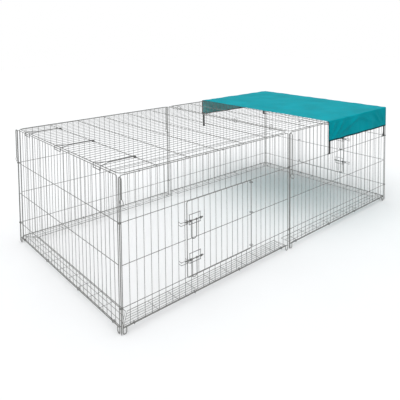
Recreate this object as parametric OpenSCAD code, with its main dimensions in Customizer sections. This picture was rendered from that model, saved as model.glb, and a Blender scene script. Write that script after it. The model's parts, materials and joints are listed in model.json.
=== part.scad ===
// Outdoor run for rabbits: six wire side panels joined by pins, a wire roof whose left half
// opens, a door in the front and one in the right end, a floor-level skirt and a sun shade.
// Origin: middle of the footprint, on the ground. +X runs to the right end, +Y to the back.

/* [Run] */
// Length between the pin lines of the two ends
run_length = 2160; // [1800:10:2400]
// Depth between the pin lines of front and back
run_depth = 1160; // [980:10:1300]
// Height of a side panel, bottom wire to top wire
panel_height = 643; // [600:1:760]
// Height of the bottom wire above the ground
foot_height = 29; // [26:1:45]

/* [Wire] */
// Wire of the panel frames
frame_wire = 3.6; // [3.4:0.1:4.4]
// Wire along the bottom of each panel
bottom_wire = 4; // [3.8:0.1:5]
// Cross wires of the grilles
cross_wire = 3; // [2.6:0.1:3.4]
// Close-set bars of the grilles
bar_wire = 2.4; // [2:0.1:2.8]
// Depth that two welded wires sink into each other
weld_sink = 0.3; // [0.2:0.05:0.5]
// Gap between wires that move past each other
loose_gap = 0.3; // [0.2:0.05:0.5]

/* [Side panels] */
// Spacing of the bars
bar_pitch = 36.7; // [32:0.1:44]
// Height of the lowest cross wire above the bottom wire
first_cross = 87; // [70:1:110]
// Spacing of the cross wires
cross_pitch = 180; // [150:1:190]
// Bend of the frame at the upper corners
frame_bend = 9; // [6:1:16]
// Width of a foot loop between its two legs
foot_loop = 17; // [9:1:24]

/* [Panel joints] */
// Wire of the joining pins
pin_wire = 4.5; // [4:0.1:6]
// Wire of the eyes that the pins pass through
eye_wire = 3; // [2.4:0.1:3.6]
// Distance from the pin to the upright at a panel's right-hand end
far_gap = 14.5; // [12:0.5:18]
// Height at which a pin bends over, above the panels' top wires
pin_top = -13; // [-16:1:20]
// The same for the two pins under the shade
covered_top = -20; // [-30:1:-17]
// Sideways reach of the pin's handle
pin_reach = 21; // [20:0.5:30]
// Outer width of the ring on the pin's handle
pin_ring = 28; // [24:1:28]
// Drop of the ring below the top wires on the corner pins at the front
corner_ring_drop = 105; // [70:5:170]
// Drop of the ring below the top wires on the front middle pin
middle_ring_drop = 245; // [150:5:300]
// Drop of the ring below the top wires on the back pins
back_ring_drop = 180; // [70:5:300]

/* [Doors] */
// Bar of the panel that the latch side closes on
latch_bar = 9; // [6:1:11]
// Bar of the panel that the door hangs on
hinge_bar = 21; // [17:1:24]
// Wire of the door's frame
door_wire = 4; // [3.4:0.1:5]
// Gap between the door's frame and the bars beside it
door_side_gap = 7; // [5:0.5:10]
// Bend of the door's corners
door_bend = 10; // [6:1:16]
// Wire of the rings that the doors hang on
ring_wire = 2.6; // [2:0.1:3.2]

/* [Latches] */
// Wire of the sliding bolt
bolt_wire = 5; // [4:0.1:6]
// Height of the upper bolt above the bottom wire
upper_bolt = 355; // [330:1:380]
// Height of the lower bolt above the bottom wire
lower_bolt = 173; // [150:1:200]
// Length of the guide that the bolt slides in
guide_length = 64; // [60:1:80]
// Height of the guide
guide_height = 46; // [36:1:60]
// Wire of the guide
guide_wire = 3; // [2.4:0.1:3.6]
// Width of the drop handle between its legs
handle_width = 31; // [26:1:31]
// Length of the drop handle below the bolt
handle_length = 88; // [60:1:100]
// Wire of the drop handle
handle_wire = 4; // [3:0.1:5]
// How far the bolt slides
bolt_travel = 18; // [16:0.5:19]
// Spacing of the keeper's two wires
keeper_spread = 13; // [11:0.5:18]

/* [Roof] */
// Distance of the roof's frame inside the side panels
roof_inset = 10; // [9:0.5:14]
// Spacing of the roof's cross wires
roof_cross_pitch = 176; // [150:1:200]
// Bend of the roof's corners
roof_bend = 30; // [20:1:50]
// Number of rings that the lid hangs on
roof_rings = 4; // [2:1:6]
// Distance of the outer hooks from the front and the back
hook_margin = 190; // [100:5:280]
// Wire of the roof hooks
hook_wire = 3.5; // [3:0.1:4]
// Spacing of a hook's two wires at its pivot
hook_narrow = 12; // [10:1:16]
// Width of a hook where it grips the end panel
hook_wide = 64; // [50:1:80]
// Length over which a hook widens
hook_flare = 55; // [40:1:70]
// Reach of a hook below the top of the end panel
hook_drop = 9; // [8:0.5:12]

/* [Skirt] */
// Width of the strip along the front left panel
wide_strip = 86; // [60:1:100]
// Spacing of its long wires, counted from the inner edge
wide_strip_pitch = 15.4; // [12:0.1:20]
// Width of the other front and back strips
long_strip = 75; // [60:1:100]
// Spacing of their long wires, counted from the inner edge
long_strip_pitch = 28.5; // [20:0.5:36]
// Width of the strips at the two ends
end_strip = 70; // [50:1:90]
// Spacing of their long wires, counted from the inner edge
end_strip_pitch = 25; // [18:0.5:34]
// Wire of the skirt's grid
skirt_wire = 1.9; // [1.6:0.1:2.4]
// Wire along the skirt's edges
skirt_edge_wire = 2.8; // [2.4:0.1:3.4]
// Bars of the panel from one cross wire of the skirt to the next
skirt_cross_step = 3; // [2:1:4]
// Gap between the skirt's end and the middle joint
skirt_end_gap = 25; // [15:1:40]
// Distance of the first clip from the panel's end
clip_start = 60; // [56:1:80]
// Clips along each panel
clip_count = 4; // [3:1:6]
// Wire of the skirt's clips
clip_wire = 2.2; // [1.8:0.1:2.6]

/* [Sun shade] */
// Length of roof that the shade covers
shade_length = 712; // [500:1:900]
// How much further left its left edge lies at the back than at the front
shade_slant = 28; // [0:1:60]
// Depth of the hanging sides
flap_depth = 127; // [90:1:150]
// Thickness of the cloth with its lining
cloth = 2; // [1.6:0.1:3]
// Depth of the folds at the hem
fold_depth = 5; // [2:0.5:8]
// Width of the straps
strap_width = 20; // [12:0.5:24]
// Thickness of the straps
strap_thickness = 1.6; // [1.2:0.1:2.4]
// Length of strap sewn to the inside of the hem
strap_lap = 16; // [10:1:30]

/* [Hidden] */

ZINC = [0.72, 0.73, 0.74];
DARK_ZINC = [0.45, 0.46, 0.47];
TEAL = [0.05, 0.60, 0.63];
BLACK = [0.06, 0.07, 0.07];

round_sides = 32; // true round wire
bar_sides = 8;    // thin bars are drawn with eight flats

half_length = run_length / 2;
half_depth = run_depth / 2;
end_length = run_depth;
front_length = half_length;

// Panel joints: a round eye at a panel's left-hand end, a long one at its right-hand end.
pin_play = 0.4;
eye_space = 1; // between the eyes of two panels
eye_radius = pin_wire / 2 + pin_play + eye_wire / 2;
near_gap = eye_radius + eye_wire / 2 + frame_wire / 2 - weld_sink;
eye_step = (eye_wire + eye_space) / 2;
pin_foot = 1;    // the pin's point stays this far off the ground
pin_point = 8;   // length of the point
point_width = 1; // width of its end
pin_ring_wire = 3;
covered_turn = 135; // the covered pins' handles point into the run

bottom_z = foot_height;
top_z = foot_height + panel_height;
cross_z = [for (k = [0:2]) foot_height + first_cross + k * cross_pitch];
bar_y = cross_wire / 2 + bar_wire / 2 - weld_sink;
wire_end = 2.2;  // how far a wire runs on past the wire that it is welded to
bend_lap = 0.5;  // a door's or roof's straight wires run this far into its corner bends,
bend_thin = 0.1; // which are drawn out thinner by this much

function spaces(len) = round((len - near_gap - far_gap) / bar_pitch);
function bar_step(len) = (len - near_gap - far_gap) / spaces(len);
function bar_x(len, i) = near_gap + i * bar_step(len);
// Middle of the space between two bars that x lies in
function between_bars(len, x) = bar_x(len, floor((x - near_gap) / bar_step(len)) + 0.5);

// Door: its frame closes against the cross wires above and below the opening.
door_y = -(cross_wire / 2 + loose_gap + door_wire / 2);
door_bar_y = door_y - door_wire / 2 - bar_wire / 2 + weld_sink;
door_cross_y = door_bar_y + bar_wire / 2 + cross_wire / 2 - weld_sink;
door_bottom = cross_z[0];
door_top = cross_z[2];
function door_left(len) = bar_x(len, latch_bar) + bar_wire / 2 + door_side_gap;
function door_right(len) = bar_x(len, hinge_bar) - bar_wire / 2 - door_side_gap;
ring_clear = 3;  // from the door's bends to its end rings
ring_raise = 8;  // the middle ring stands this far above the cross wire

// Latch: guide on the door's bars, bolt through its two eyes, handle on the bolt.
guide_y = door_bar_y - bar_wire / 2 - guide_wire / 2 + weld_sink;
guide_post = guide_wire - 0.4;
guide_eye = bolt_wire + 2 * loose_gap + 2 * 2.5;
bolt_y = guide_y - guide_eye / 2 - guide_wire / 2 + 2;
guide_eye_length = 6;
guide_inset = 8;
guide_below = 0.4; // share of the guide that lies below the bolt
function guide_left(len) = door_left(len) + door_wire / 2 + guide_inset;
function keeper_end(len) = door_left(len) - door_wire / 2 - keeper_gap;
keeper_gap = 2;
bolt_clear = 4; // an open bolt stands back from the keeper by this much
keeper_grip = bolt_travel - bolt_clear;
keeper_tail = 3;
keeper_y = bolt_y - bolt_wire / 2 - loose_gap - cross_wire / 2;
keeper_stub = cross_wire - 0.4;
bolt_z = [foot_height + upper_bolt, foot_height + lower_bolt];
handle_eye_length = 4;
handle_eye = bolt_wire + 2 * loose_gap + 2 * 2;
collar = bolt_wire + 2.4;
collar_length = 1.5;
bolt_tail = 6;  // length of the bolt past the guide
bolt_stop = 2;  // length of its end collar
handle_thin = handle_wire - 0.6;

// Roof: cross wires rest on the panels' top wires, bars lie on the cross wires.
roof_z = top_z + frame_wire / 2 + loose_gap + cross_wire / 2;
roof_bar_z = roof_z + cross_wire / 2 + bar_wire / 2 - weld_sink;
roof_top = roof_bar_z + bar_wire / 2;
lid_left = -half_length + roof_inset;
lid_right = -roof_inset;
lid_front = -half_depth + roof_inset;
lid_spaces = round((lid_right - lid_left) / roof_cross_pitch);
lid_pitch = (lid_right - lid_left) / lid_spaces;
lid_rows = 2 * floor(-lid_front / bar_pitch) + 1;
row_pitch = -2 * lid_front / lid_rows;
lid_axis_z = roof_top + 0.8;
lid_ring_radius = norm([roof_inset, lid_axis_z - roof_z]) + frame_wire / 2 + loose_gap
  + ring_wire / 2;

// Roof hooks turn on the lid's first cross wire.
hook_pivot_x = lid_left + lid_pitch;
hook_row = round((half_depth - hook_margin) / row_pitch) * row_pitch;
hook_eye = cross_wire + 2 * loose_gap + 2 * 2.6;
hook_z = roof_z + hook_eye / 2 + hook_wire / 2 - weld_sink;
hook_x = -half_length - frame_wire / 2 - loose_gap - hook_wire / 2;

// Places of the small hooks on the top wires, from the front left corner
front_clips = [100, 470, 560, 676, 938];
left_clip = 60;
clip_tail = 6;

// Skirt: hangs on clips round the bottom wire, and folds up beside the bars.
skirt_y = bar_y + bar_wire / 2 + loose_gap + skirt_edge_wire / 2;
skirt_cross_z = bottom_z - skirt_wire + weld_sink; // below, so that it folds clear of the bars
clip_radius = skirt_y / 2 + bottom_wire / 2 + loose_gap + clip_wire / 2;
mitre_gap = 3;
slant_room = 3; // cross wires stay this far inside a strip's slanted ends

// Shade: hangs clear of the top wires by the straps' thickness.
shade_left = half_length - shade_length;
shade_back_left = shade_left - shade_slant;
shade_z = roof_top + loose_gap;
shade_out = cross_wire / 2 + loose_gap + strap_thickness + cloth;
hem_z = shade_z - flap_depth;

// The latches stand out at the right end, the eyes and hooks at the left end.
right_reach = -keeper_y + cross_wire / 2;
left_reach = max(eye_radius + eye_wire / 2, -half_length - hook_x + hook_wire / 2);
centre_shift = (left_reach - right_reach) / 2;

// ---------------------------------------------------------------- wire shapes

module post(x, y, z0, z1, d, sides = round_sides) {
  translate([x, y, z0]) cylinder(h = z1 - z0, d = d, $fn = sides);
}

module rail(x0, x1, y, z, d, sides = round_sides) {
  translate([x0, y, z]) rotate([0, 90, 0]) cylinder(h = x1 - x0, d = d, $fn = sides);
}

module spoke(x, y0, y1, z, d, sides = round_sides) {
  translate([x, y1, z]) rotate([90, 0, 0]) cylinder(h = y1 - y0, d = d, $fn = sides);
}

// Ring about the Z axis
module ring(radius, d) {
  rotate_extrude($fn = 48) translate([radius, 0]) circle(d = d, $fn = 16);
}

// Part of a ring about the Z axis, from angle a0 over the sweep
module bend(radius, d, a0, sweep) {
  rotate([0, 0, a0]) rotate_extrude(angle = sweep, $fn = 48)
    translate([radius, 0]) circle(d = d, $fn = round_sides);
}

// Straight wire between two points
module strut(a, b, d, sides = round_sides) {
  v = b - a;
  translate(a) rotate([0, acos(v[2] / norm(v)), atan2(v[1], v[0])])
    cylinder(h = norm(v), d = d, $fn = sides);
}

// Closed wire frame with bent corners in the XZ plane
module wire_frame(x0, x1, y, z0, z1, bend_r, d) {
  side = bend_r - bend_lap;
  for (z = [z0, z1]) rail(x0 + side, x1 - side, y, z, d);
  for (x = [x0, x1]) post(x, y, z0 + side, z1 - side, d);
  corners = [[x1 - bend_r, z1 - bend_r, 0], [x0 + bend_r, z1 - bend_r, 90],
    [x0 + bend_r, z0 + bend_r, 180], [x1 - bend_r, z0 + bend_r, 270]];
  for (c = corners) translate([c[0], y, c[1]]) rotate([90, 0, 0])
    bend(bend_r, d - bend_thin, c[2], 90);
}

// ---------------------------------------------------------------- side panels
// Drawn in the panel's own frame: X along the panel from its left pin, Y into the run, Z up.

// Loop at the foot of a panel's upright; side is 1 when the loop lies to the right of it
module foot(x, side) {
  r = foot_loop / 2;
  z = frame_wire / 2 + r;
  post(x, 0, z, bottom_z, frame_wire);
  post(x + side * foot_loop, 0, z, bottom_z, frame_wire);
  translate([x + side * r, 0, z]) rotate([90, 0, 0]) bend(r, frame_wire, 180, 180);
}

module panel_frame(len) {
  x0 = near_gap;
  x1 = len - far_gap;
  post(x0, 0, bottom_z, top_z - frame_bend, frame_wire);
  post(x1, 0, bottom_z, top_z - frame_bend, frame_wire);
  rail(x0 + frame_bend, x1 - frame_bend, 0, top_z, frame_wire);
  translate([x0 + frame_bend, 0, top_z - frame_bend]) rotate([90, 0, 0])
    bend(frame_bend, frame_wire, 90, 90);
  translate([x1 - frame_bend, 0, top_z - frame_bend]) rotate([90, 0, 0])
    bend(frame_bend, frame_wire, 0, 90);
  rail(x0, x1, 0, bottom_z, bottom_wire);
  foot(x0, 1);
  foot(x1, -1);
}

// Long eye: round the pin at one end, welded to the upright at the other
module long_eye(len) {
  reach = far_gap - near_gap;
  for (s = [-1, 1]) rail(len - reach, len, s * eye_radius, 0, eye_wire);
  translate([len, 0, 0]) bend(eye_radius, eye_wire, -90, 180);
  translate([len - reach, 0, 0]) bend(eye_radius, eye_wire, 90, 180);
}

module panel_eyes(len) {
  for (k = [0, 2]) {
    translate([0, 0, cross_z[k] + eye_step]) ring(eye_radius, eye_wire);
    translate([0, 0, cross_z[k] - eye_step]) long_eye(len);
  }
}

// Grille without an opening
module plain_panel(len) {
  color(ZINC) union() {
    panel_frame(len);
    panel_eyes(len);
    for (i = [1:spaces(len) - 1]) post(bar_x(len, i), bar_y, bottom_z, top_z, bar_wire, bar_sides);
    for (z = cross_z) rail(near_gap, len - far_gap, 0, z, cross_wire);
  }
}

// Grille with the bars and the middle cross wire left out of the doorway
module door_panel(len) {
  color(ZINC) union() {
    panel_frame(len);
    panel_eyes(len);
    for (i = [1:spaces(len) - 1])
      if (i > latch_bar && i < hinge_bar) {
        post(bar_x(len, i), bar_y, bottom_z, cross_z[0], bar_wire, bar_sides);
        post(bar_x(len, i), bar_y, cross_z[2], top_z, bar_wire, bar_sides);
      } else {
        post(bar_x(len, i), bar_y, bottom_z, top_z, bar_wire, bar_sides);
      }
    for (k = [0, 2]) rail(near_gap, len - far_gap, 0, cross_z[k], cross_wire);
    rail(near_gap, bar_x(len, latch_bar) + wire_end, 0, cross_z[1], cross_wire);
    rail(bar_x(len, hinge_bar) - wire_end, len - far_gap, 0, cross_z[1], cross_wire);
  }
}

// ---------------------------------------------------------------- doors and latches

module door(len) {
  x0 = door_left(len);
  x1 = door_right(len);
  color(ZINC) union() {
    wire_frame(x0, x1, door_y, door_bottom, door_top, door_bend, door_wire);
    for (i = [latch_bar + 1:hinge_bar - 1])
      post(bar_x(len, i), door_bar_y, door_bottom, door_top, bar_wire, bar_sides);
    rail(x0, x1, door_cross_y, cross_z[1], cross_wire);
  }
}

// Rings round the door's hinge upright and the bar beside it
module door_rings(len) {
  dx = bar_x(len, hinge_bar) - door_right(len);
  dy = bar_y - door_y;
  reach = norm([dx, dy]) / 2 + door_wire / 2 + loose_gap + ring_wire / 2;
  heights = [door_bottom + door_bend + ring_clear, cross_z[1] + ring_raise,
    door_top - door_bend - ring_clear];
  color(DARK_ZINC)
    for (z = heights) translate([door_right(len) + dx / 2, door_y + dy / 2, z]) ring(reach, ring_wire);
}

// One keeper: two wires on the bars beside the doorway, closed at the end near the door
module keeper(len, z) {
  end_x = keeper_end(len) - cross_wire / 2;
  half = keeper_spread / 2;
  for (s = [-1, 1]) {
    rail(bar_x(len, latch_bar - 1) - keeper_tail, end_x, keeper_y, z + s * half, keeper_stub);
    for (i = [latch_bar - 1, latch_bar])
      spoke(bar_x(len, i), keeper_y, bar_y - bar_wire / 2 + weld_sink, z + s * half,
        keeper_stub - 0.3);
  }
  post(end_x, keeper_y, z - half - wire_end, z + half + wire_end, cross_wire);
}

module keepers(len) {
  color(ZINC) for (z = bolt_z) keeper(len, z);
}

// One guide: a wire oblong on the door's bars with an eye for the bolt at each end
module guide(len, z) {
  x0 = guide_left(len);
  x1 = x0 + guide_length;
  z0 = z - guide_below * guide_height;
  z1 = z0 + guide_height;
  for (h = [z0, z1]) rail(x0 - wire_end, x1 + wire_end, guide_y, h, guide_wire);
  for (x = [x0, x1]) {
    difference() {
      union() {
        post(x, guide_y, z0, z1, guide_post);
        rail(x - guide_eye_length / 2, x + guide_eye_length / 2, bolt_y, z, guide_eye);
      }
      rail(x - guide_eye_length, x + guide_eye_length, bolt_y, z, bolt_wire + 2 * loose_gap);
    }
  }
}

module guides(len) {
  color(DARK_ZINC) for (z = bolt_z) guide(len, z);
}

function handle_left(len) = guide_left(len) + guide_eye_length / 2 + collar_length
  + handle_eye_length / 2 + 2 * loose_gap;

module bolt(len, z) {
  tip = keeper_end(len) - keeper_grip;
  tail = guide_left(len) + guide_length + guide_eye_length / 2 + bolt_tail;
  h0 = handle_left(len) - handle_eye_length / 2 - loose_gap;
  h1 = handle_left(len) + handle_width + handle_eye_length / 2 + loose_gap;
  color(ZINC) union() {
    rail(tip, tail, bolt_y, z, bolt_wire);
    rail(tail, tail + bolt_stop, bolt_y, z, collar);
    rail(h0 - collar_length, h0, bolt_y, z, collar);
    rail(h1, h1 + collar_length, bolt_y, z, collar);
  }
}

module handle(len, z) {
  x0 = handle_left(len);
  r = handle_width / 2;
  low = z - handle_length + r;
  color(DARK_ZINC) union() {
    for (x = [x0, x0 + handle_width]) difference() {
      union() {
        rail(x - handle_eye_length / 2, x + handle_eye_length / 2, bolt_y, z, handle_eye);
        post(x, bolt_y, low, z, handle_thin);
      }
      rail(x - handle_eye_length, x + handle_eye_length, bolt_y, z, bolt_wire + 2 * loose_gap);
    }
    translate([x0 + r, bolt_y, low]) rotate([90, 0, 0]) bend(r, handle_thin, 180, 180);
  }
}

// ---------------------------------------------------------------- joining pins

// Long pin through the eyes, turned over at the top, with a ring on the short leg.
// The handle lies towards angle a, seen from above.
module pin(a, above, drop) {
  r = pin_reach / 2;
  top = top_z + above;
  ring_z = top_z - drop;
  ring_r = (pin_ring - pin_ring_wire) / 2;
  color(ZINC) rotate([0, 0, a]) union() {
    post(0, 0, pin_foot + pin_point, top, pin_wire);
    translate([0, 0, pin_foot])
      cylinder(h = pin_point, d1 = point_width, d2 = pin_wire, $fn = round_sides);
    translate([r, 0, top]) rotate([90, 0, 0]) bend(r, pin_wire, 0, 180);
    post(pin_reach, 0, ring_z + ring_r, top, pin_wire);
    translate([pin_reach, 0, ring_z]) rotate([90, 0, 0]) ring(ring_r, pin_ring_wire);
  }
}

// ---------------------------------------------------------------- roof

// Half of the roof: frame, bars along X, cross wires that reach over the side panels
module roof_half(x0, x1) {
  color(ZINC) union() {
    translate([0, 0, roof_z]) rotate([-90, 0, 0])
      wire_frame(x0, x1, 0, lid_front, -lid_front, roof_bend, frame_wire);
    for (k = [1:lid_spaces - 1])
      spoke(x0 + k * lid_pitch, -half_depth - 1, half_depth + 1, roof_z, cross_wire);
    for (j = [1:lid_rows - 1])
      rail(x0, x1, lid_front + j * row_pitch, roof_bar_z, bar_wire, bar_sides);
  }
}

// Rings round the neighbouring frame wires of the two halves, between bars
module roof_hinge_rings() {
  color(DARK_ZINC)
    for (k = [0:roof_rings - 1]) {
      row = floor((k + 0.5) * lid_rows / roof_rings);
      translate([0, lid_front + (row + 0.5) * row_pitch, lid_axis_z]) rotate([90, 0, 0])
        ring(lid_ring_radius, ring_wire);
    }
}

// Hook of two wires from the lid's cross wire over the end panel's top wire
module roof_hook() {
  narrow = hook_narrow / 2;
  wide = hook_wide / 2;
  flare_x = hook_x + hook_flare;
  low = top_z - hook_drop;
  thin = hook_wire - 0.3;
  color(DARK_ZINC) union() {
    for (s = [-1, 1]) {
      difference() {
        union() {
          spoke(hook_pivot_x, s * narrow - 2, s * narrow + 2, roof_z, hook_eye);
          rail(flare_x - 1, hook_pivot_x + wire_end, s * narrow, hook_z, hook_wire);
        }
        spoke(hook_pivot_x, s * narrow - 4, s * narrow + 4, roof_z, cross_wire + 2 * loose_gap);
      }
      strut([flare_x + 1, s * narrow, hook_z], [hook_x, s * wide, hook_z], thin);
      post(hook_x, s * wide, low - wire_end, hook_z + wire_end, hook_wire);
    }
    spoke(hook_x, -wide, wide, low, thin);
  }
}

// Small wire hook on a top wire, in a panel's own frame
module top_clip(x) {
  r = frame_wire / 2 + loose_gap + clip_wire / 2;
  translate([x, 0, top_z]) rotate([90, 0, -90]) bend(r, clip_wire, -90, 180);
  translate([x, 0, top_z - r]) rotate([-90, 0, 0])
    cylinder(h = clip_tail, d = clip_wire - 0.2, $fn = round_sides);
}

module roof_clips() {
  color(DARK_ZINC) {
    on_front_left() for (x = front_clips) top_clip(between_bars(front_length, x));
    on_left_end() top_clip(between_bars(end_length, end_length - left_clip));
  }
}

// ---------------------------------------------------------------- skirt

// Strip along a panel of length len, with long wires at the pitch from its inner edge; cut on
// the slant at a corner. left_cut and right_cut are the widths of the strips that it meets, or
// 0 at a joint.
module skirt_strip(len, width, pitch, left_cut, right_cut) {
  function x_start(d) = left_cut > 0 ? near_gap + mitre_gap + left_cut * d / width : skirt_end_gap;
  function x_stop(d) = right_cut > 0 ? len - near_gap - mitre_gap - right_cut * d / width
    : len - skirt_end_gap;
  function inner_end(x) = [x, skirt_y + width + 1, skirt_cross_z];
  function outer_end(x) = [x, skirt_y - 1, skirt_cross_z];
  color(ZINC) union() {
    for (d = [0, width]) rail(x_start(d), x_stop(d), skirt_y + d, bottom_z, skirt_edge_wire);
    for (d = [width - pitch:-pitch:pitch / 2])
      rail(x_start(d), x_stop(d), skirt_y + d, bottom_z, skirt_wire, bar_sides);
    for (i = [2:skirt_cross_step:spaces(len) - 1]) {
      x = bar_x(len, i);
      if (x > x_start(width) + slant_room && x < x_stop(width) - slant_room)
        spoke(x, skirt_y - 1, skirt_y + width + 1, skirt_cross_z, skirt_wire, bar_sides);
    }
    strut(outer_end(x_start(0) + 1), inner_end(x_start(width) + 1), skirt_wire, bar_sides);
    strut(outer_end(x_stop(0) - 1), inner_end(x_stop(width) - 1), skirt_wire, bar_sides);
  }
}

// Clips of one panel: rings round the bottom wire and the skirt's edge, between two bars
module clips(len) {
  for (k = [0:clip_count - 1]) {
    x = between_bars(len, clip_start + k * (len - 2 * clip_start) / (clip_count - 1));
    translate([x, skirt_y / 2, bottom_z]) rotate([0, 90, 0]) ring(clip_radius, clip_wire);
  }
}

// ---------------------------------------------------------------- sun shade

// The cloth hangs along a U seen from above: front side, right end, back side.
flap_rows = 4;
top_rows = 3;
side_steps = 20;
end_steps = 32;
around = 2 * side_steps + end_steps;
u_front = shade_length + shade_out;
u_end = run_depth + 2 * shade_out;
u_back = u_front + shade_slant;
u_total = u_front + u_end + u_back;
fold_length = 190;
calm = 70; // the cloth hangs flat this far from each strap
shade_middle = shade_left - shade_slant / 2; // middle of the left edge

// Place of a strap beside the first bar to the right of x; the bars are counted from gap.
function strap_x(x, gap) =
  let (step = bar_step(front_length))
  gap + ceil((x - gap) / step) * step + bar_wire / 2 + loose_gap + strap_width / 2;
// Place of a strap beside the upright that stands gap short of the corner
function strap_end(gap) =
  front_length - gap - frame_wire / 2 - loose_gap - strap_width / 2;
front_straps = [strap_x(shade_left, near_gap), strap_end(far_gap)];
back_straps = [strap_x(shade_back_left, far_gap), strap_end(near_gap)];
strap_places = concat([for (x = front_straps) x - shade_left],
  [for (x = back_straps) u_total - x + shade_back_left]);

// Distance along the U of its point number i, with a point at each corner
function u_along(i) = i <= side_steps ? i * u_front / side_steps
  : i <= side_steps + end_steps ? u_front + (i - side_steps) * u_end / end_steps
  : u_total - (around - i) * u_back / side_steps;

// Point of a U that is shrunk towards the middle of the shade's left edge by size
function u_point(d, size, out) =
  let (x_right = half_length + shade_out + out,
    y_side = half_depth + shade_out + out,
    p = d < u_front ? [shade_left + d / u_front * (x_right - shade_left), -y_side]
      : d < u_front + u_end ? [x_right, ((d - u_front) / u_end * 2 - 1) * y_side]
      : [x_right - (d - u_front - u_end) / u_back * (x_right - shade_back_left), y_side])
  [shade_middle + (p[0] - shade_middle) * size, p[1] * size];

// Folds swell outwards to the hem and die out at the top edge and beside the straps.
function fold(d, drop) =
  let (near = min([for (s = strap_places) abs(d - s)]),
    free = min(1, max(0, near - calm / 2) / calm))
  fold_depth * drop * free * (0.5 - 0.5 * cos(360 * d / fold_length));

function cloth_point(i, k, inner) =
  let (d = u_along(i), drop = max(0, 1 - k / flap_rows),
    size = k <= flap_rows ? 1 : 1 - (k - flap_rows) / (top_rows + 1),
    out = k <= flap_rows ? fold(d, drop) - (inner ? cloth : 0) : 0,
    p = u_point(d, size, out))
  [p[0], p[1], shade_z + cloth - drop * (shade_z + cloth - hem_z)
    - (inner && k >= flap_rows ? cloth : 0)];

module sun_shade() {
  rows = flap_rows + top_rows;
  across = around + 1;
  layer = across * (rows + 1) + 1;
  outer = concat([for (k = [0:rows]) for (i = [0:around]) cloth_point(i, k, false)],
    [[shade_middle, 0, shade_z + cloth]]);
  inner = concat([for (k = [0:rows]) for (i = [0:around]) cloth_point(i, k, true)],
    [[shade_middle, 0, shade_z]]);
  function at(i, k) = k * across + i;
  skin = concat(
    [for (k = [0:rows - 1]) for (i = [0:around - 1]) [at(i, k), at(i, k + 1), at(i + 1, k)]],
    [for (k = [0:rows - 1]) for (i = [0:around - 1]) [at(i + 1, k), at(i, k + 1), at(i + 1, k + 1)]],
    [for (i = [0:around - 1]) [at(i, rows), layer - 1, at(i + 1, rows)]]);
  lining = [for (f = skin) [f[0] + layer, f[2] + layer, f[1] + layer]];
  rim = concat([for (i = [0:around]) at(i, 0)], [for (k = [1:rows]) at(around, k)], [layer - 1],
    [for (k = [rows:-1:1]) at(0, k)]);
  edge = [for (n = [0:len(rim) - 1]) let (a = rim[n], b = rim[(n + 1) % len(rim)])
    each [[a, b, b + layer], [a, b + layer, a + layer]]];
  color(TEAL) polyhedron(points = concat(outer, inner), faces = concat(skin, lining, edge));
}

// Strap in a front panel's own frame: a loop round the upper cross wire, and a band up to
// the inside of the shade's hem
module strap() {
  loop = cross_wire / 2 + loose_gap;
  t = strap_thickness;
  w = strap_width;
  color(BLACK) union() {
    translate([-w / 2, -loop - t, cross_z[2]]) cube([w, t, hem_z + strap_lap - cross_z[2]]);
    translate([-w / 2, 0, cross_z[2]]) rotate([90, 0, 90]) difference() {
      cylinder(h = w, r = loop + t, $fn = round_sides);
      translate([0, 0, -1]) cylinder(h = w + 2, r = loop, $fn = round_sides);
    }
  }
}

// ---------------------------------------------------------------- placing

// Moves the whole run so that the origin lies in the middle of its footprint
module placed() {
  translate([centre_shift, 0, 0]) children();
}

module on_front_left() {
  placed() translate([-half_length, -half_depth, 0]) children();
}

module on_front_right() {
  placed() translate([0, -half_depth, 0]) children();
}

module on_right_end() {
  placed() translate([half_length, -half_depth, 0]) rotate([0, 0, 90]) children();
}

module on_back_right() {
  placed() translate([half_length, half_depth, 0]) rotate([0, 0, 180]) children();
}

module on_back_left() {
  placed() translate([0, half_depth, 0]) rotate([0, 0, 180]) children();
}

module on_left_end() {
  placed() translate([-half_length, half_depth, 0]) rotate([0, 0, 270]) children();
}

// Straps go on the front; mirroring gives those at the back.
module strap_at(x, back) {
  placed() mirror([0, back, 0]) translate([x, -half_depth, 0]) strap();
}

module pin_at(x, y, a, top, drop) {
  placed() translate([x * half_length, y * half_depth, 0]) pin(a, top, drop);
}

module skirt_clips() {
  color(DARK_ZINC) {
    on_front_left() clips(front_length);
    on_front_right() clips(front_length);
    on_right_end() clips(end_length);
    on_back_right() clips(front_length);
    on_back_left() clips(front_length);
    on_left_end() clips(end_length);
  }
}

on_left_end() plain_panel(end_length);  // left_end_panel
on_right_end() door_panel(end_length);  // right_end_panel
on_front_left() door_panel(front_length);  // front_left_panel
on_front_right() plain_panel(front_length);  // front_right_panel
on_back_left() plain_panel(front_length);  // back_left_panel
on_back_right() plain_panel(front_length);  // back_right_panel

placed() roof_half(lid_left, lid_right);  // roof_lid_panel
placed() roof_half(-lid_right, -lid_left);  // roof_fixed_panel
placed() roof_hinge_rings();
placed() translate([0, -hook_row, 0]) roof_hook();  // roof_hook_front
placed() roof_hook();  // roof_hook_middle
placed() translate([0, hook_row, 0]) roof_hook();  // roof_hook_back
roof_clips();

on_front_left() door(front_length);  // front_door
on_right_end() door(end_length);  // end_door
on_front_left() door_rings(front_length);  // front_door_hinge_rings
on_right_end() door_rings(end_length);  // end_door_hinge_rings
on_front_left() keepers(front_length);  // front_door_keepers
on_right_end() keepers(end_length);  // end_door_keepers
on_front_left() guides(front_length);  // front_door_guides
on_right_end() guides(end_length);  // end_door_guides

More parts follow.
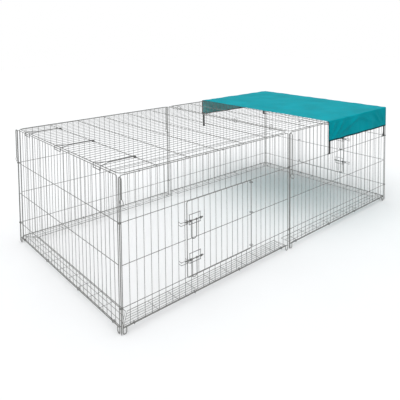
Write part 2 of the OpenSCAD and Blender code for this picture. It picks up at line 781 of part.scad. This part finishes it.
on_front_left() bolt(front_length, bolt_z[0]);  // front_upper_bolt
on_front_left() bolt(front_length, bolt_z[1]);  // front_lower_bolt
on_right_end() bolt(end_length, bolt_z[0]);  // end_upper_bolt
on_right_end() bolt(end_length, bolt_z[1]);  // end_lower_bolt
on_front_left() handle(front_length, bolt_z[0]);  // front_upper_handle
on_front_left() handle(front_length, bolt_z[1]);  // front_lower_handle
on_right_end() handle(end_length, bolt_z[0]);  // end_upper_handle
on_right_end() handle(end_length, bolt_z[1]);  // end_lower_handle

pin_at(-1, -1, 270, pin_top, corner_ring_drop);  // front_left_pin
pin_at(0, -1, 270, pin_top, middle_ring_drop);  // front_middle_pin
pin_at(-1, 1, 90, pin_top, back_ring_drop);  // back_left_pin
pin_at(0, 1, 90, pin_top, back_ring_drop);  // back_middle_pin
pin_at(1, -1, covered_turn, covered_top, corner_ring_drop);  // front_right_pin
pin_at(1, 1, -covered_turn, covered_top, back_ring_drop);  // back_right_pin

on_front_left() skirt_strip(front_length, wide_strip, wide_strip_pitch, end_strip, 0);  // front_left_skirt
on_front_right() skirt_strip(front_length, long_strip, long_strip_pitch, 0, end_strip);  // front_right_skirt
on_back_right() skirt_strip(front_length, long_strip, long_strip_pitch, end_strip, 0);  // back_right_skirt
on_back_left() skirt_strip(front_length, long_strip, long_strip_pitch, 0, end_strip);  // back_left_skirt
on_left_end() skirt_strip(end_length, end_strip, end_strip_pitch, long_strip, wide_strip);  // left_end_skirt
on_right_end() skirt_strip(end_length, end_strip, end_strip_pitch, long_strip, long_strip);  // right_end_skirt
skirt_clips();

placed() sun_shade();
strap_at(front_straps[0], 0);  // strap_front_left
strap_at(front_straps[1], 0);  // strap_front_right
strap_at(back_straps[0], 1);  // strap_back_left
strap_at(back_straps[1], 1);  // strap_back_right
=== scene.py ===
"""Outdoor run for rabbits: wire finishes, the draped sun shade, its straps, and a pale studio."""

import json
import math

import bmesh
import bpy
from mathutils import Matrix, Vector, noise


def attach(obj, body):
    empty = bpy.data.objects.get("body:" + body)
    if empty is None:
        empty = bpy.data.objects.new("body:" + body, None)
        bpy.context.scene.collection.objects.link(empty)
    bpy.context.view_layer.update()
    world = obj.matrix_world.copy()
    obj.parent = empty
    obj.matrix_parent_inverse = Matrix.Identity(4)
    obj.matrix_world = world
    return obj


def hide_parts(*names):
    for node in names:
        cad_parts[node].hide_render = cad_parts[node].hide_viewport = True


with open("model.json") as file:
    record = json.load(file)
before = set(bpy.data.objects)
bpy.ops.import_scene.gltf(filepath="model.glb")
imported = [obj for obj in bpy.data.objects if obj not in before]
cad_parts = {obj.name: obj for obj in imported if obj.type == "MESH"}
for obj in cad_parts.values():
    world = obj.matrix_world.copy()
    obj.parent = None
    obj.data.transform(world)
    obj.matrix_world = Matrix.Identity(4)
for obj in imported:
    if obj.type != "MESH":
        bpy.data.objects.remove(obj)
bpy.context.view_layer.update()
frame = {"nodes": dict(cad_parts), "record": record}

# ------------------------------------------------------------------ sizes, in metres

CENTRE_SHIFT = -0.007025    # the run's middle lies this far along X
HALF_LENGTH = 1.080         # from the middle to the end panels
HALF_DEPTH = 0.580          # from the middle to the front and back panels
UPPER_CROSS_Z = 0.476       # the cross wire that the straps hold on to
CROSS_WIRE_R = 0.0015

SHADE_LENGTH = 0.712        # roof covered by the shade
SHADE_SLANT = 0.028         # its left edge lies this much further left at the back
SHADE_TOP_Z = 0.6811        # upper face of the cloth on the roof
SHADE_HEM_Z = 0.5545        # at the left; the hem sinks towards the right end
HEM_SINK = 0.007
BACK_RISE = 0.012           # the hem at the back hangs this much higher
SHADE_OUT = 0.0050          # the hanging sides stand this far outside the panels
CLOTH = 0.0011              # thickness
EDGE_R = 0.006              # bend over the top wires
CORNER_R = 0.009            # bend of the hanging sides round a corner
CELL = 0.008                # about the size of one face of its mesh
CALM = 0.070                # the cloth hangs flat this far from each strap

# Folds and slack of the hanging sides
FOLD_DEPTH = 0.005
FOLD_LENGTH = 0.190
SLACK = 0.0022              # depth of the uneven slack
SLACK_RATE = (9.0, 1.4)     # its waves for each metre of hem, and from top to hem
SLACK_AT_STRAP = 0.35       # share of it that is left beside a strap
DIP = 0.0006                # the most that a side may lie inwards
HEM_WAVE = 0.0012           # the hem rises and falls by this much
HEM_WAVE_RATE = 31.0        # radians for each metre of hem
HEM_WAVE_CALM = 0.1         # the wave fades over this distance from a strap
BACK_RISE_SPAN = (-0.2, 0.3)    # where it starts and ends, from the back right corner

# Slack on the roof
TOP_WAVE = 0.0010
TOP_WAVE_RATE = (3.0, 7.0)  # for each metre along X and along Y
TOP_RIDGE = 0.0008
TOP_RIDGE_RATE = 6.1
TOP_CALM = 0.05             # waves and ridges fade over this distance from the edges
PUCKER = 0.0030             # puckers along the edges
PUCKER_RATE = 23.0
PUCKER_W = 0.06

HEM = 0.016                 # width of the turned hem
HEM_RISE = 0.0007           # it stands this much above the cloth
HEM_EDGE = 0.002            # width of the step down from it
STITCH = 0.0042             # length of one stitch
STITCH_STEP = 0.0075
STITCH_INSET = 0.003        # from the hem's turned edge
STITCH_HALF_W = 0.0005
STITCH_HALF_T = 0.00035
STITCH_CORNER = 0.01        # no stitches this close to a corner
DARK_EDGE_W = 0.0085            # width of a darker band along the hem and the sides' cut edges
DARK_EDGE_BLUR = 0.0012
DARK_EDGE_COLOUR = (0.0, 0.055, 0.065, 1)
WEAVE_PITCH = 0.0011        # from one thread of the cloth to the next
RIB_PITCH = 0.0016          # the same for the webbing's ribs
WEBBING_PITCH = 0.0012      # and for its threads along them

STRAP_W = 0.020
STRAP_T = 0.0014
STRAP_PLAY = 0.0003         # between a strap and the wire that it loops round
STRAP_BOW = 0.0006          # a strap bows out by this much between its ends
STRAP_STEPS = 14            # along its straight part
FRONT_STRAPS = (0.383598, 1.0534)    # along X from the run's middle, left and right
BACK_STRAPS = (0.354448, 1.06075)
STRAP_LAP = 0.016           # a strap reaches this far up behind the hem
STRAP_FLARE = 0.5           # the front right strap spreads by this share at its loop
FLARE_FROM = 0.05           # the spread starts this far below its upper end

# Ridges in the cloth from a strap: along the hem and above it where they start and end, and size
RIDGES = ((0.034, 0.012, 0.150, 0.124, 0.0085), (0.150, 0.048, 0.355, 0.128, 0.0075),
          (0.006, 0.040, 0.052, 0.118, 0.0050), (0.092, 0.022, 0.215, 0.100, 0.0050))
RIDGE_W = 0.0115
RIDGE_SPAN = (-0.03, 0.45)  # how far along the hem they reach
OTHER_RIDGES = 0.45         # their share at the straps other than the front left one

# Camera of the photograph: place, direction, and frame of 400 by 400 pixels
CAMERA_AT = (-2.0185, -2.2198, 1.2759)
CAMERA_YAW = 0.7459
CAMERA_PITCH = 0.0630
CAMERA_ROLL = -0.0066
FOCAL_PX = 464.24
AXIS_PX = (223.91, 54.36)
FRAME_PX = 400
SENSOR_MM = 36.0

# Where the shade's edges lie
X_LEFT = HALF_LENGTH - SHADE_LENGTH + CENTRE_SHIFT
BACK_LEFT = X_LEFT - SHADE_SLANT
X_RIGHT = HALF_LENGTH + SHADE_OUT + CENTRE_SHIFT
Y_SIDE = HALF_DEPTH + SHADE_OUT
Z_EDGE = SHADE_TOP_Z - CLOTH / 2
DROP = Z_EDGE - EDGE_R - SHADE_HEM_Z

# The hem runs along the front, the right end and the back.
FRONT_RUN = X_RIGHT - X_LEFT
END_RUN = 2 * Y_SIDE
BACK_RUN = X_RIGHT - BACK_LEFT
HEM_RUN = FRONT_RUN + END_RUN + BACK_RUN
BACK_CORNER = FRONT_RUN + END_RUN

# ------------------------------------------------------------------ helpers


def new_object(name, mesh, *materials):
    """An object in the scene, made from a bmesh, with smooth faces."""
    data = bpy.data.meshes.new(name)
    mesh.to_mesh(data)
    mesh.free()
    for mat in materials:
        data.materials.append(mat)
    data.shade_smooth()
    obj = bpy.data.objects.new(name, data)
    bpy.context.scene.collection.objects.link(obj)
    return obj


def new_material(name):
    mat = bpy.data.materials.new(name)
    mat.use_nodes = True
    tree = mat.node_tree
    return mat, tree, tree.nodes["Principled BSDF"]


def feed(tree, node, inputs):
    """Links each output to its input, and sets each plain value."""
    for key, value in inputs.items():
        if isinstance(value, bpy.types.NodeSocket):
            tree.links.new(value, node.inputs[key])
        else:
            node.inputs[key].default_value = value


def add(tree, kind, inputs=None, **settings):
    node = tree.nodes.new(kind)
    for key, value in settings.items():
        setattr(node, key, value)
    feed(tree, node, inputs or {})
    return node


def math_node(tree, operation, a, b=None):
    inputs = {0: a} if b is None else {0: a, 1: b}
    return add(tree, "ShaderNodeMath", inputs, operation=operation).outputs[0]


def ramp(tree, factor, stops):
    node = add(tree, "ShaderNodeValToRGB", {"Fac": factor})
    while len(node.color_ramp.elements) < len(stops):
        node.color_ramp.elements.new(0.5)
    for element, (place, colour) in zip(node.color_ramp.elements, stops):
        element.position = place
        element.color = (*colour, 1)
    return node.outputs["Color"]


def blend_colours(tree, share, first, second):
    """first where share is 0, second where it is 1; the node keeps them in 6, 7 and output 2."""
    node = add(tree, "ShaderNodeMix", {0: share, 6: first, 7: second}, data_type="RGBA")
    return node.outputs[2]


def noise_map(tree, place, scale, detail, **more):
    inputs = {"Vector": place, "Scale": scale, "Detail": detail, **more}
    return add(tree, "ShaderNodeTexNoise", inputs).outputs["Fac"]


def relief(tree, height, strength, distance, **more):
    inputs = {"Height": height, "Strength": strength, "Distance": distance, **more}
    return add(tree, "ShaderNodeBump", inputs).outputs["Normal"]


def seen_directly(tree):
    """1 for what the camera sees, also in a reflection or through glass, 0 for light on the object."""
    path = add(tree, "ShaderNodeLightPath")
    seen = math_node(tree, "MAXIMUM", path.outputs["Is Camera Ray"], path.outputs["Is Glossy Ray"])
    return math_node(tree, "MAXIMUM", seen, path.outputs["Is Transmission Ray"])


def spread(tree, value, low, high):
    """value from 0 to 1, carried to low to high."""
    node = add(tree, "ShaderNodeMapRange", {"Value": value, "To Min": low, "To Max": high})
    return node.outputs["Result"]


def threads(tree, coordinate, pitch):
    """Rounded threads across a coordinate in metres, from 0 to 1."""
    turn = math_node(tree, "MULTIPLY", coordinate, 2 * math.pi / pitch)
    wave = math_node(tree, "SINE", turn)
    return math_node(tree, "MULTIPLY_ADD", wave, 0.5)


def cut_pattern(tree):
    """Places on the flat cloth in metres: as one vector, and along and across."""
    flat = add(tree, "ShaderNodeUVMap", uv_map="cut").outputs["UV"]
    axes = add(tree, "ShaderNodeSeparateXYZ", {"Vector": flat})
    return flat, axes.outputs["X"], axes.outputs["Y"]


# ------------------------------------------------------------------ materials


def zinc(name, dark, light, rough):
    """Galvanised wire: crystal patches in the zinc, dull streaks and a few scuffs."""
    mat, tree, shader = new_material(name)
    place = add(tree, "ShaderNodeTexCoord").outputs["Object"]
    patches = add(tree, "ShaderNodeTexVoronoi", {"Vector": place, "Scale": 260.0})
    cloud = noise_map(tree, place, 35.0, 5.0)
    grain = noise_map(tree, place, 900.0, 3.0)
    tone = math_node(tree, "MULTIPLY", patches.outputs["Distance"], 0.5)
    tone = math_node(tree, "ADD", tone, math_node(tree, "MULTIPLY", cloud, 0.7))
    feed(tree, shader, {
        "Base Color": ramp(tree, tone, [(0.25, dark), (0.75, light)]),
        "Roughness": spread(tree, cloud, rough - 0.1, rough + 0.14),
        "Metallic": 0.85,
        "Normal": relief(tree, grain, 0.25, 0.0003)})
    return mat


def shade_cloth(name, dark, light, through_share):
    """Dyed nylon: a fine plain weave, faded a little in patches, that lets some light through."""
    mat, tree, shader = new_material(name)
    flat, along, across = cut_pattern(tree)
    warp = threads(tree, along, WEAVE_PITCH)
    weft = threads(tree, across, WEAVE_PITCH)
    weave = math_node(tree, "MAXIMUM", warp, weft)
    fade = noise_map(tree, flat, 5.0, 6.0, Roughness=0.55)
    crease = noise_map(tree, flat, 26.0, 5.0, Distortion=0.6)
    tone = math_node(tree, "MULTIPLY", fade, 0.75)
    tone = math_node(tree, "ADD", tone, math_node(tree, "MULTIPLY", weave, 0.22))
    dyed = ramp(tree, tone, [(0.30, dark), (0.72, light)])
    from_edge = add(tree, "ShaderNodeAttribute", attribute_name="from_edge").outputs["Fac"]
    # A darker band along the hem and the sides' cut edges
    inside = add(tree, "ShaderNodeMapRange", {
        "Value": from_edge, "From Min": DARK_EDGE_W, "From Max": DARK_EDGE_W + DARK_EDGE_BLUR}).outputs["Result"]
    colour = blend_colours(tree, inside, DARK_EDGE_COLOUR, dyed)
    fine = relief(tree, weave, 0.35, 0.0002)
    broad = relief(tree, crease, 0.35, 0.004, Normal=fine)
    feed(tree, shader, {
        "Base Color": colour,
        "Roughness": spread(tree, weave, 0.52, 0.66),
        "Sheen Weight": 0.03,
        "Sheen Roughness": 0.4,
        "Sheen Tint": (0.2, 0.9, 1.0, 1),
        "Specular IOR Level": 0.06,
        "Normal": broad})
    through = add(tree, "ShaderNodeBsdfTranslucent", {"Color": colour, "Normal": broad})
    mix = add(tree, "ShaderNodeMixShader", {
        0: through_share, 1: shader.outputs[0], 2: through.outputs[0]})
    tree.links.new(mix.outputs[0], tree.nodes["Material Output"].inputs["Surface"])
    return mat


def webbing():
    """Black ribbed webbing with a paler nap on its ribs."""
    mat, tree, shader = new_material("strap_webbing")
    flat, along, across = cut_pattern(tree)
    ribs = threads(tree, across, RIB_PITCH)
    height = math_node(tree, "MULTIPLY", ribs, threads(tree, along, WEBBING_PITCH))
    tone = math_node(tree, "MULTIPLY", height, noise_map(tree, flat, 900.0, 3.0))
    feed(tree, shader, {
        "Base Color": ramp(tree, tone, [(0.05, (0.004, 0.006, 0.006)), (0.7, (0.030, 0.036, 0.036))]),
        "Roughness": spread(tree, height, 0.65, 0.85),
        "Sheen Weight": 0.15,
        "Normal": relief(tree, height, 0.6, 0.0004)})
    return mat


def thread():
    """Twisted sewing thread, a little darker than the cloth."""
    mat, tree, shader = new_material("sewing_thread")
    place = add(tree, "ShaderNodeTexCoord").outputs["Object"]
    wave = add(tree, "ShaderNodeTexWave", {"Vector": place, "Scale": 700.0, "Distortion": 2.0})
    twist = wave.outputs["Fac"]
    feed(tree, shader, {
        "Base Color": ramp(tree, twist, [(0.2, (0.004, 0.10, 0.12)), (0.8, (0.010, 0.20, 0.23))]),
        "Roughness": 0.6,
        "Normal": relief(tree, twist, 0.4, 0.0002)})
    return mat


def studio_floor():
    """Pale matt floor, white to the camera, that throws less light back up at the object."""
    mat, tree, shader = new_material("studio_floor")
    place = add(tree, "ShaderNodeTexCoord").outputs["Object"]
    cloud = noise_map(tree, place, 1.5, 3.0)
    pale = ramp(tree, cloud, [(0.3, (0.975, 0.975, 0.97)), (0.7, (0.995, 0.995, 0.99))])
    feed(tree, shader, {
        "Base Color": blend_colours(tree, seen_directly(tree), (0.5, 0.5, 0.495, 1), pale),
        "Roughness": 0.9,
        "Specular IOR Level": 0.1})
    return mat


# ------------------------------------------------------------------ wire finishes


def finish_wires():
    zinc_light = zinc("zinc_wire", (0.13, 0.13, 0.125), (0.27, 0.27, 0.26), 0.42)
    zinc_dark = zinc("spring_wire", (0.10, 0.10, 0.10), (0.21, 0.21, 0.205), 0.38)
    slots = {row["node"]: row["material_slot"] for row in frame["record"]["subparts"]}
    for name, obj in frame["nodes"].items():
        mat = zinc_dark if slots[name] == "dark_zinc_wire" else zinc_light
        obj.data.materials.clear()
        obj.data.materials.append(mat)
        obj.data.shade_smooth()
        obj.data.set_sharp_from_angle(angle=math.radians(50))


# ------------------------------------------------------------------ the sun shade


def smooth_step(a, b, x):
    t = min(1.0, max(0.0, (x - a) / (b - a)))
    return t * t * (3 - 2 * t)


def left_edge(y):
    """Where the shade's left edge lies along X."""
    return X_LEFT + (BACK_LEFT - X_LEFT) * (y / Y_SIDE + 1) / 2


def strap_places():
    """Places of the straps along the hem, each with the way towards the middle of its side."""
    front = [(x + CENTRE_SHIFT - X_LEFT, way) for x, way in zip(FRONT_STRAPS, (1, -1))]
    back = [(HEM_RUN - (x + CENTRE_SHIFT - BACK_LEFT), way) for x, way in zip(BACK_STRAPS, (-1, 1))]
    return front + back


def strap_gap(d):
    """Distance along the hem from d to the nearest strap."""
    return min(abs(d - place) for place, _ in strap_places())


def hem_height(d):
    """Height of the hem, d along it: it sinks to the right end, rises at the back and waves a little."""
    rightward = min(1.0, d / FRONT_RUN, (HEM_RUN - d) / BACK_RUN)
    behind = smooth_step(BACK_CORNER + BACK_RISE_SPAN[0], BACK_CORNER + BACK_RISE_SPAN[1], d)
    wave = HEM_WAVE * math.sin(d * HEM_WAVE_RATE) * min(1.0, strap_gap(d) / HEM_WAVE_CALM)
    return SHADE_HEM_Z - HEM_SINK * rightward + BACK_RISE * behind + wave


def hem_rise(gap):
    """How much the cloth is thickened by its turned hem, at a distance from its cut edge."""
    return HEM_RISE * (1 - smooth_step(HEM - HEM_EDGE, HEM, gap))


def slack_noise(x, y, z):
    """Uneven slack in four octaves, about from -1 to 1; z only sets one use apart from another."""
    return noise.fractal(Vector((x, y, z)), 1.0, 2.0, 4)


def side_swell(d, t):
    """How far a hanging side stands out, d along the hem, t from 0 at the top to 1 at the hem."""
    free = min(1.0, max(0.0, (strap_gap(d) - CALM / 2) / CALM))
    fold = FOLD_DEPTH * t * free * (0.5 - 0.5 * math.cos(2 * math.pi * d / FOLD_LENGTH))
    slack = slack_noise(d * SLACK_RATE[0], t * SLACK_RATE[1], 3.1) * SLACK * smooth_step(0, 0.35, t)
    return max(-DIP, fold + slack * (SLACK_AT_STRAP + (1 - SLACK_AT_STRAP) * free))


def strap_pull(d, t):
    """Slanting ridges that run up from each strap, strongest at the front left one."""
    height = (1 - t) * (SHADE_TOP_Z - SHADE_HEM_Z)
    swell = 0.0
    for n, (place, way) in enumerate(strap_places()):
        reach = (d - place) * way
        if not RIDGE_SPAN[0] < reach < RIDGE_SPAN[1]:
            continue
        for start, low, end, high, size in RIDGES:
            run, rise = end - start, high - low
            share = ((reach - start) * run + (height - low) * rise) / (run ** 2 + rise ** 2)
            off = math.hypot(reach - start - share * run, height - low - share * rise)
            fade = smooth_step(-0.15, 0.15, share) * smooth_step(1.2, 0.8, share)
            swell += size * fade * math.exp(-(off / RIDGE_W) ** 2) * (1.0 if n == 0 else OTHER_RIDGES)
    return swell * smooth_step(0.0, 0.2, t)


def top_height(x, y):
    """Height of the cloth on the roof above its lowest: slack waves, and puckers along its edges."""
    wave = slack_noise(x * TOP_WAVE_RATE[0], y * TOP_WAVE_RATE[1], 0.4)
    ridge = 0.5 + 0.5 * math.sin(2 * math.pi * (y * TOP_RIDGE_RATE + 0.35 * math.sin(x * 9.0)))
    gap = min(X_RIGHT - x, Y_SIDE - abs(y))
    pucker = max(0.0, noise.noise(Vector((x * PUCKER_RATE, y * PUCKER_RATE, 7.7))) + 0.2)
    inner = max(0.0, min(1.0, gap / TOP_CALM))
    slack = inner * (TOP_WAVE * (wave + 0.5) + TOP_RIDGE * ridge ** 2)
    return slack + PUCKER * pucker * smooth_step(PUCKER_W, 0.0, gap)


def u_points(count_side, count_end):
    """Places round the U of the hanging sides: (unit x, unit y, distance), corners included."""
    points = [(i / count_side, -1.0, FRONT_RUN * i / count_side) for i in range(count_side)]
    points += [(1.0, 2 * i / count_end - 1, FRONT_RUN + END_RUN * i / count_end)
               for i in range(count_end)]
    points += [(1 - i / count_side, 1.0, BACK_CORNER + BACK_RUN * i / count_side)
               for i in range(count_side + 1)]
    return points


def side_point(place, offset, z, swell):
    """A point of a hanging side, offset outwards from the outline, plus the side's swell."""
    ux, uy, _ = place
    left = left_edge(uy * Y_SIDE)
    x = left + ux * (X_RIGHT + offset - left)
    y = uy * (Y_SIDE + offset)
    if abs(uy) == 1.0:
        y += math.copysign(swell, uy)
    if ux == 1.0:
        x += swell
    over_x, over_y = x - X_RIGHT + CORNER_R, abs(y) - Y_SIDE + CORNER_R
    if over_x > 0 and over_y > 0:
        shrink = min(1.0, (CORNER_R + offset) / math.hypot(over_x, over_y))
        x = X_RIGHT - CORNER_R + over_x * shrink
        y = math.copysign(Y_SIDE - CORNER_R + over_y * shrink, y)
    return Vector((x, y, z))


def make_shade(cloth_mat, inner_face_painted_light_mat):
    """The cloth: its top on the roof, a bend over the edges, and the sides in rows down to the hem."""
    mesh = bmesh.new()
    cut = mesh.loops.layers.uv.new("cut")
    from_edge = mesh.verts.layers.float.new("from_edge")
    flat = {}

    def vert(co, u, v, away=1.0):
        new = mesh.verts.new(co)
        new[from_edge] = away
        flat[new] = (u, v)
        return new

    def quad(a, b, c, d):
        face = mesh.faces.new((a, b, c, d))
        for loop in face.loops:
            loop[cut].uv = flat[loop.vert]

    nx = round((X_RIGHT - X_LEFT) / CELL)
    ny = 2 * round(Y_SIDE / CELL)
    x_in, y_in = X_RIGHT - EDGE_R, Y_SIDE - EDGE_R
    top = {}
    for i in range(nx + 1):
        for j in range(ny + 1):
            y = -y_in + 2 * y_in * j / ny
            x = left_edge(y) + (x_in - left_edge(y)) * i / nx
            z = Z_EDGE + top_height(x, y) + hem_rise(x - left_edge(y))
            top[i, j] = vert((x, y, z), x, y)
    for i in range(nx):
        for j in range(ny):
            quad(top[i, j], top[i + 1, j], top[i + 1, j + 1], top[i, j + 1])

    around = u_points(nx, ny)
    above = [top[i, 0] for i in range(nx)] + [top[nx, j] for j in range(ny)]
    above += [top[i, ny] for i in range(nx, -1, -1)]
    bend = [math.radians(a) for a in (30, 60, 90)]
    rows = [(-EDGE_R + EDGE_R * math.sin(a), EDGE_R * (1 - math.cos(a)), 0.0) for a in bend]
    steps = round(DROP / CELL)
    rows += [(0.0, EDGE_R, k / steps) for k in range(1, steps + 1)]
    for offset, below, t in rows:
        ring = []
        for place in around:
            d = place[2]
            outline = side_point(place, 0.0, 0.0, 0.0)
            pucker = (1 - t) * top_height(outline.x, outline.y)
            z = Z_EDGE - below - t * (Z_EDGE - EDGE_R - hem_height(d)) + pucker
            swell = side_swell(d, t) + strap_pull(d, t)
            away = min(z - hem_height(d), d, HEM_RUN - d)
            co = side_point(place, offset, z, swell + hem_rise(away))
            down = Z_EDGE - z
            u = co.x + (down if place[0] == 1.0 and abs(place[1]) < 1 else 0)
            v = co.y + (math.copysign(down, place[1]) if abs(place[1]) == 1.0 else 0)
            ring.append(vert(co, u, v, away))
        for n in range(len(ring) - 1):
            quad(above[n], ring[n], ring[n + 1], above[n + 1])
        above = ring

    bmesh.ops.recalc_face_normals(mesh, faces=mesh.faces)
    obj = new_object("sun_shade_cloth", mesh, cloth_mat, inner_face_painted_light_mat)
    thick = obj.modifiers.new("thickness", "SOLIDIFY")
    # The inner shell takes the second material: the cloth's inner face, painted paler as painted light
    # shining through the cloth
    thick.material_offset = 1
    thick.thickness = CLOTH
    thick.offset = 0
    fine = obj.modifiers.new("soft", "SUBSURF")
    fine.levels = fine.render_levels = 1
    return obj


def make_stitches(mat):
    """A row of stitches along each hem, just proud of the cloth."""
    mesh = bmesh.new()

    def stitch(at, along, out):
        side = along.cross(out).normalized()
        turn = Matrix((along, side, out)).transposed().to_4x4()
        size = Matrix.Diagonal((STITCH / 2, STITCH_HALF_W, STITCH_HALF_T, 1))
        bmesh.ops.create_uvsphere(mesh, u_segments=6, v_segments=4, radius=1.0,
                                  matrix=Matrix.Translation(at) @ turn @ size)

    rise = HEM - STITCH_INSET
    t = 1 - rise / DROP
    for n in range(2, int(HEM_RUN / STITCH_STEP) - 1):
        d = n * STITCH_STEP
        if min(abs(d - FRONT_RUN), abs(d - BACK_CORNER)) < STITCH_CORNER:
            continue
        z = hem_height(d) + rise
        swell = side_swell(d, t) + strap_pull(d, t) + HEM_RISE + CLOTH / 2
        if d < FRONT_RUN:
            stitch(Vector((X_LEFT + d, -Y_SIDE - swell, z)), Vector((1, 0, 0)), Vector((0, -1, 0)))
        elif d < BACK_CORNER:
            y = -Y_SIDE + d - FRONT_RUN
            stitch(Vector((X_RIGHT + swell, y, z)), Vector((0, 1, 0)), Vector((1, 0, 0)))
        else:
            x = X_RIGHT - (d - BACK_CORNER)
            stitch(Vector((x, Y_SIDE + swell, z)), Vector((-1, 0, 0)), Vector((0, 1, 0)))
    for n in range(1, int(2 * (Y_SIDE - EDGE_R) / STITCH_STEP)):
        y = -Y_SIDE + EDGE_R + n * STITCH_STEP
        x = left_edge(y) + rise
        height = SHADE_TOP_Z + top_height(x, y) + HEM_RISE
        stitch(Vector((x, y, height)), Vector((0, 1, 0)), Vector((0, 0, 1)))
    return new_object("shade_stitches", mesh, mat)


# ------------------------------------------------------------------ straps


def strap_path(place):
    """The middle line of a strap at a place along the hem: (outwards, height), from hem to free end."""
    loop = CROSS_WIRE_R + STRAP_PLAY + STRAP_T / 2
    top = hem_height(place) + STRAP_LAP
    path = []
    for k in range(STRAP_STEPS + 1):
        bow = STRAP_BOW * math.sin(math.pi * k / STRAP_STEPS)
        path.append((loop + bow, top - k * (top - UPPER_CROSS_Z) / STRAP_STEPS))
    turn = [math.radians(a) for a in range(20, 261, 20)]
    return path + [(loop * math.cos(a), UPPER_CROSS_Z - loop * math.sin(a)) for a in turn]


def make_band(name, path, width, place, mat, flare=0.0):
    """A woven band along the path; place turns (across, outwards, height) into a point.

    Its left part spreads by the share flare towards the lower end.
    """
    mesh = bmesh.new()
    cut = mesh.loops.layers.uv.new("cut")
    half = width / 2
    # The band's section, clockwise: across in metres, and the share of its half thickness
    profile = [(-half, 0.5), (-half * 0.92, 1), (0, 1.08), (half * 0.92, 1), (half, 0.5),
               (half, -0.5), (half * 0.92, -1), (0, -1.08), (-half * 0.92, -1), (-half, -0.5)]
    rings, run = [], 0.0
    flat = {}
    for k, (out, z) in enumerate(path):
        before, after = path[max(0, k - 1)], path[min(len(path) - 1, k + 1)]
        along = Vector((after[0] - before[0], after[1] - before[1])).normalized()
        normal = Vector((-along.y, along.x))
        if k:
            run += math.hypot(out - path[k - 1][0], z - path[k - 1][1])
        ring = []
        spread_left = 1 + 2 * flare * smooth_step(path[0][1] - FLARE_FROM, UPPER_CROSS_Z, z)
        for across, lift in profile:
            across *= spread_left if across < 0 else 1.0
            o = out + normal.x * lift * STRAP_T / 2
            h = z + normal.y * lift * STRAP_T / 2
            new = mesh.verts.new(place(across, o, h))
            flat[new] = (across, run)
            ring.append(new)
        rings.append(ring)
    for a, b in zip(rings, rings[1:]):
        for n in range(len(a)):
            m = (n + 1) % len(a)
            mesh.faces.new((a[n], a[m], b[m], b[n]))
    mesh.faces.new(rings[0])
    mesh.faces.new(reversed(rings[-1]))
    for face in mesh.faces:
        for loop in face.loops:
            loop[cut].uv = flat[loop.vert]
    bmesh.ops.recalc_face_normals(mesh, faces=mesh.faces)
    return new_object(name, mesh, mat)


# ------------------------------------------------------------------ camera and studio


def make_camera():
    yaw, pitch, roll = CAMERA_YAW, CAMERA_PITCH, CAMERA_ROLL
    level_share = math.cos(pitch)
    forward = Vector((math.sin(yaw) * level_share, math.cos(yaw) * level_share, -math.sin(pitch)))
    level = Vector((math.cos(yaw), -math.sin(yaw), 0))
    upright = level.cross(forward)
    right = math.cos(roll) * level + math.sin(roll) * upright
    up = -math.sin(roll) * level + math.cos(roll) * upright
    data = bpy.data.cameras.new("camera")
    data.sensor_width = SENSOR_MM
    data.lens = FOCAL_PX / FRAME_PX * data.sensor_width
    data.shift_x = 0.5 - AXIS_PX[0] / FRAME_PX
    data.shift_y = AXIS_PX[1] / FRAME_PX - 0.5
    data.clip_end = 50
    camera = bpy.data.objects.new("camera", data)
    turn = Matrix((right, up, -forward)).transposed().to_4x4()
    camera.matrix_world = Matrix.Translation(CAMERA_AT) @ turn
    bpy.context.scene.collection.objects.link(camera)
    bpy.context.scene.camera = camera


def make_floor():
    mesh = bmesh.new()
    bmesh.ops.create_grid(mesh, x_segments=2, y_segments=2, size=12)
    new_object("floor", mesh, studio_floor())


def soft_sun(name, towards, spread_deg, strength):
    """Even light from a wide part of the sky, which doesn't fall off over the floor."""
    data = bpy.data.lights.new(name, "SUN")
    data.energy = strength
    data.angle = math.radians(spread_deg)
    lamp = bpy.data.objects.new(name, data)
    lamp.rotation_euler = Vector(towards).to_track_quat("-Z", "Y").to_euler()
    bpy.context.scene.collection.objects.link(lamp)


def make_studio():
    make_floor()
    soft_sun("overhead", (0.30, 0.25, -1.0), 80, 1.6)
    world = bpy.data.worlds.new("studio")
    world.use_nodes = True
    tree = world.node_tree
    around = tree.nodes["Background"]
    feed(tree, around, {"Color": (0.95, 0.97, 1.0, 1), "Strength": 0.6})
    backdrop = add(tree, "ShaderNodeBackground", {"Color": (1, 1, 1, 1), "Strength": 1.0})
    mix = add(tree, "ShaderNodeMixShader", {0: seen_directly(tree), 1: around.outputs[0],
                                            2: backdrop.outputs[0]})
    tree.links.new(mix.outputs[0], tree.nodes["World Output"].inputs["Surface"])
    bpy.context.scene.world = world
    bpy.context.scene.view_settings.view_transform = "Standard"


# ------------------------------------------------------------------ the scene

make_camera()
make_studio()
finish_wires()

nylon = shade_cloth("shade_nylon", (0.0, 0.345, 0.405), (0.0, 0.490, 0.575), 0.30)
# The inner face of the same cloth, painted paler and greener than the outside: painted light that stands
# in for daylight coming through the cloth
inner_face_painted_light = shade_cloth("shade_inner_face_painted_light", (0.10, 0.60, 0.58), (0.18, 0.74, 0.71), 0.50)
shade = make_shade(nylon, inner_face_painted_light)
stitches = make_stitches(thread())
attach(shade, "run")
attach(stitches, "run")
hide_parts("sun_shade")

strap_mat = webbing()
for face, side, places in (("front", -1, FRONT_STRAPS), ("back", 1, BACK_STRAPS)):
    for end, x in zip(("left", "right"), places):
        middle = x + CENTRE_SHIFT
        along_hem = middle - X_LEFT if side < 0 else HEM_RUN - (middle - BACK_LEFT)
        flare = STRAP_FLARE if (face, end) == ("front", "right") else 0.0
        strap = make_band(f"{face}_{end}_webbing", strap_path(along_hem), STRAP_W,
                          lambda across, out, z: (middle + across, side * (HALF_DEPTH + out), z),
                          strap_mat, flare)
        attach(strap, "run")
        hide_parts(f"strap_{face}_{end}")
